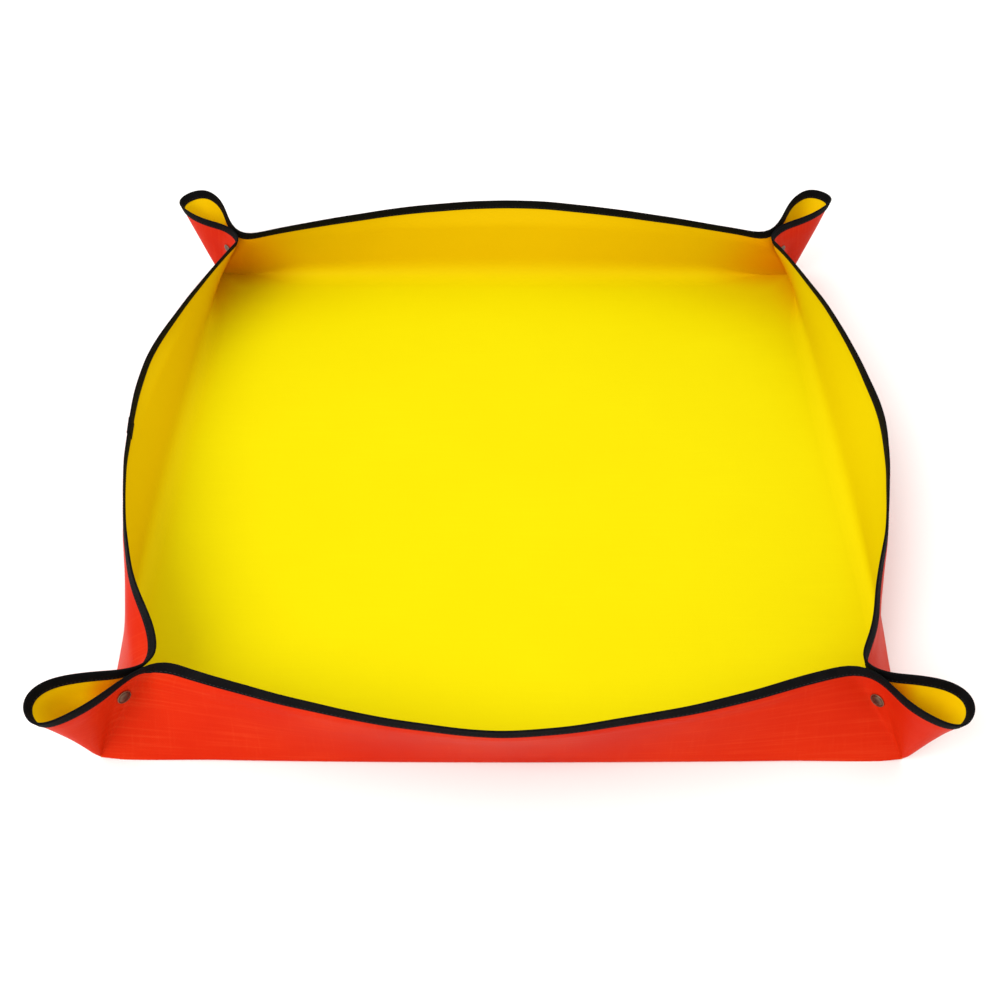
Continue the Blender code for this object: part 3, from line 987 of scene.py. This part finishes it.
def capProfile():
    face, roll = layerOuter + snap["gap"], snap["capRoll"]
    crown = face + snap["capHeight"]
    inner, fall = snap["capRadius"] - 2.3 * roll, snap["capHeight"] - 1.9 * roll
    dome = [(inner * s, crown - fall * s**4) for s in np.linspace(0, 1, snap["domeSteps"])]
    shank, top = snap["capShank"], layerInner - snap["gap"] - snap["socketPlate"] - snap["gap"] / 2
    profile = dome + arc(snap["capRadius"] - roll, face + roll, roll, 150, -90, 12)
    profile += [(shank, face), (shank, top), (snap["flareRadius"], top)]
    profile += [(snap["flareRadius"], top - snap["flareThickness"]), (0, top - snap["flareThickness"])]
    return profile


def socketProfile():
    seat, face, soft = layerInner - snap["gap"], -snap["gap"], snap["rounding"]
    ceiling, hole = seat - snap["socketPlate"], snap["capShank"] + snap["gap"]
    profile = [(hole, seat)] + arc(snap["socketRadius"] - soft, seat - soft, soft, 90, 0)
    profile += arc(snap["socketRadius"] - soft, face + soft, soft, 0, -90)
    profile += arc(snap["lipRadius"] + soft / 2, face + soft / 2, soft / 2, -90, -180)
    lip = face + snap["lipHeight"]
    profile += [(snap["lipRadius"], lip), (snap["roomRadius"], lip + soft)]
    return profile + [(snap["roomRadius"], ceiling), (hole, ceiling), (hole, seat)]


def studProfile():
    seat, soft = layerInner - snap["gap"], snap["rounding"]
    face = seat - snap["studPlate"]
    tip, bore = face - snap["headHeight"], snap["postShank"] + snap["gap"]
    profile = [(0, tip + snap["studWall"]), (bore, tip + snap["studWall"]), (bore, seat)]
    profile += arc(snap["studRadius"] - soft, seat - soft, soft, 90, 0)
    profile += arc(snap["studRadius"] - soft, face + soft, soft, 0, -90)
    profile += [(snap["neckRadius"], face)]
    profile += arc(snap["headRadius"] - soft, tip + soft, soft, 30, -90)
    return profile + [(0, tip)]


def postProfile():
    face, soft, halfPlate = layerOuter + snap["gap"], snap["rounding"], snap["postPlate"] / 2
    end = layerInner - snap["studPlate"] - snap["headHeight"] + snap["studWall"]
    flat = snap["postRadius"] - 2 * soft
    profile = [(flat * s, face + snap["postPlate"]) for s in (0, 0.5, 1)]
    profile += arc(snap["postRadius"] - soft, face + halfPlate, halfPlate, 70, -90, 8)
    return profile + [(snap["postShank"], face), (snap["postShank"], end), (0, end)]


def turnedMesh(name, profile, side, end):
    _, first, _, away = cornerAxes(side, end)
    centre, second = snapCentre(side, end), np.cross(away, first)
    turns = np.arange(snap["steps"]) * 2 * math.pi / snap["steps"]
    ways = np.cos(turns)[:, None] * first + np.sin(turns)[:, None] * second
    points, rings, places = [], [], []
    for radius, height in profile:
        ring = [centre + away * height] if radius == 0 else list(centre + away * height + ways * radius)
        rings.append(range(len(points), len(points) + len(ring)))
        points += ring
        places += [(radius, height)] * len(ring)
    faces = []
    for one, two in zip(rings, rings[1:]):
        for i in range(snap["steps"]):
            j = (i + 1) % snap["steps"]
            if len(one) == 1:
                faces.append((one[0], two[i], two[j]))
            elif len(two) == 1:
                faces.append((one[i], two[0], one[j]))
            else:
                faces.append((one[i], two[i], two[j], one[j]))
    return addMesh(name, points, faces, places, (bronze,))


def makeSnap(side, end):
    corner = cornerName(side, end)
    if side in ("front", "back"):
        pieces = (("cap", capProfile), ("socket", socketProfile))
    else:
        pieces = (("stud", studProfile), ("post", postProfile))
    for kind, profile in pieces:
        made = turnedMesh(f"{kind}_{corner}", profile(), side, end)
        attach(made, f"{corner}_ear_{side}_half")
        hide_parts(f"{corner}_snap_{kind}")


makeFloor()
print("floor made")
for side in sideNames:
    makeWall(side)
    makeWallTape(side)
    for end in (-1, 1):
        makeEarHalf(side, end)
        makeEarTape(side, end)
        makeSnap(side, end)
    print(side, "side made")
makeLap()
print("lap made")


# Ground, lights and camera

studio = {
    "floorColour": (0.97, 0.97, 0.97),
    "floorRoughness": 0.9,
    "floorShine": 0.1,
    "floorHalf": 6.0,
    "floorDrop": 0.0003,
    "worldColour": (1.0, 0.965, 0.915),
    "worldStrength": 0.97,
    "keyPower": 52.0,
    "keySize": 2.0,
    "keyFrom": (-1.3, -1.6, 2.1),
    "fillPower": 10.0,
    "fillSize": 2.2,
    "fillFrom": (0.5, 1.4, 2.2),
}


def makeStudio():
    mesh = bpy.data.meshes.new("studio_floor")
    far = studio["floorHalf"]
    square = [(-far, -far, 0), (far, -far, 0), (far, far, 0), (-far, far, 0)]
    mesh.from_pydata(square, [], [(0, 1, 2, 3)])
    ground = bpy.data.objects.new("studio_floor", mesh)
    bpy.context.scene.collection.objects.link(ground)
    ground.location.z = -studio["floorDrop"]
    paper = bpy.data.materials.new("studioPaper")
    paper.use_nodes = True
    shader = paper.node_tree.nodes["Principled BSDF"]
    shader.inputs["Base Color"].default_value = (*studio["floorColour"], 1)
    shader.inputs["Roughness"].default_value = studio["floorRoughness"]
    shader.inputs["Specular IOR Level"].default_value = studio["floorShine"]
    mesh.materials.append(paper)
    world = bpy.data.worlds.new("studio")
    bpy.context.scene.world = world
    world.use_nodes = True
    world.node_tree.nodes["Background"].inputs["Color"].default_value = (*studio["worldColour"], 1)
    world.node_tree.nodes["Background"].inputs["Strength"].default_value = studio["worldStrength"]
    for name in ("key", "fill"):
        lamp = bpy.data.lights.new("studio_" + name, "AREA")
        lamp.energy = studio[name + "Power"]
        lamp.shape = "DISK"
        lamp.size = studio[name + "Size"]
        holder = bpy.data.objects.new("studio_" + name, lamp)
        bpy.context.scene.collection.objects.link(holder)
        holder.location = studio[name + "From"]
        holder.rotation_mode = "QUATERNION"
        holder.rotation_quaternion = (-Vector(studio[name + "From"])).to_track_quat("-Z", "Y")
    bpy.context.scene.view_settings.view_transform = "Standard"


shot = {
    "focalPixels": 1387.1,
    "distance": 1.21718,
    "elevation": 0.80076,
    "aim": (-0.00213, -0.03090, 0.0),
    "yaw": -0.01168,
    "roll": -0.00509,
    "picturePixels": 1000,
}


def makeCamera():
    lens = bpy.data.cameras.new("camera")
    lens.sensor_width = 36
    lens.lens = shot["focalPixels"] / shot["picturePixels"] * lens.sensor_width
    lens.clip_start, lens.clip_end = 0.05, 30
    camera = bpy.data.objects.new("camera", lens)
    bpy.context.scene.collection.objects.link(camera)
    level, drop = math.cos(shot["elevation"]), math.sin(shot["elevation"])
    forward = Vector((math.sin(shot["yaw"]) * level, math.cos(shot["yaw"]) * level, -drop))
    camera.location = Vector(shot["aim"]) - forward * shot["distance"]
    camera.rotation_mode = "QUATERNION"
    upright = forward.to_track_quat("-Z", "Y")
    camera.rotation_quaternion = upright @ Quaternion((0, 0, 1), shot["roll"])
    bpy.context.scene.camera = camera


makeStudio()
makeCamera()
print("studio and camera made")
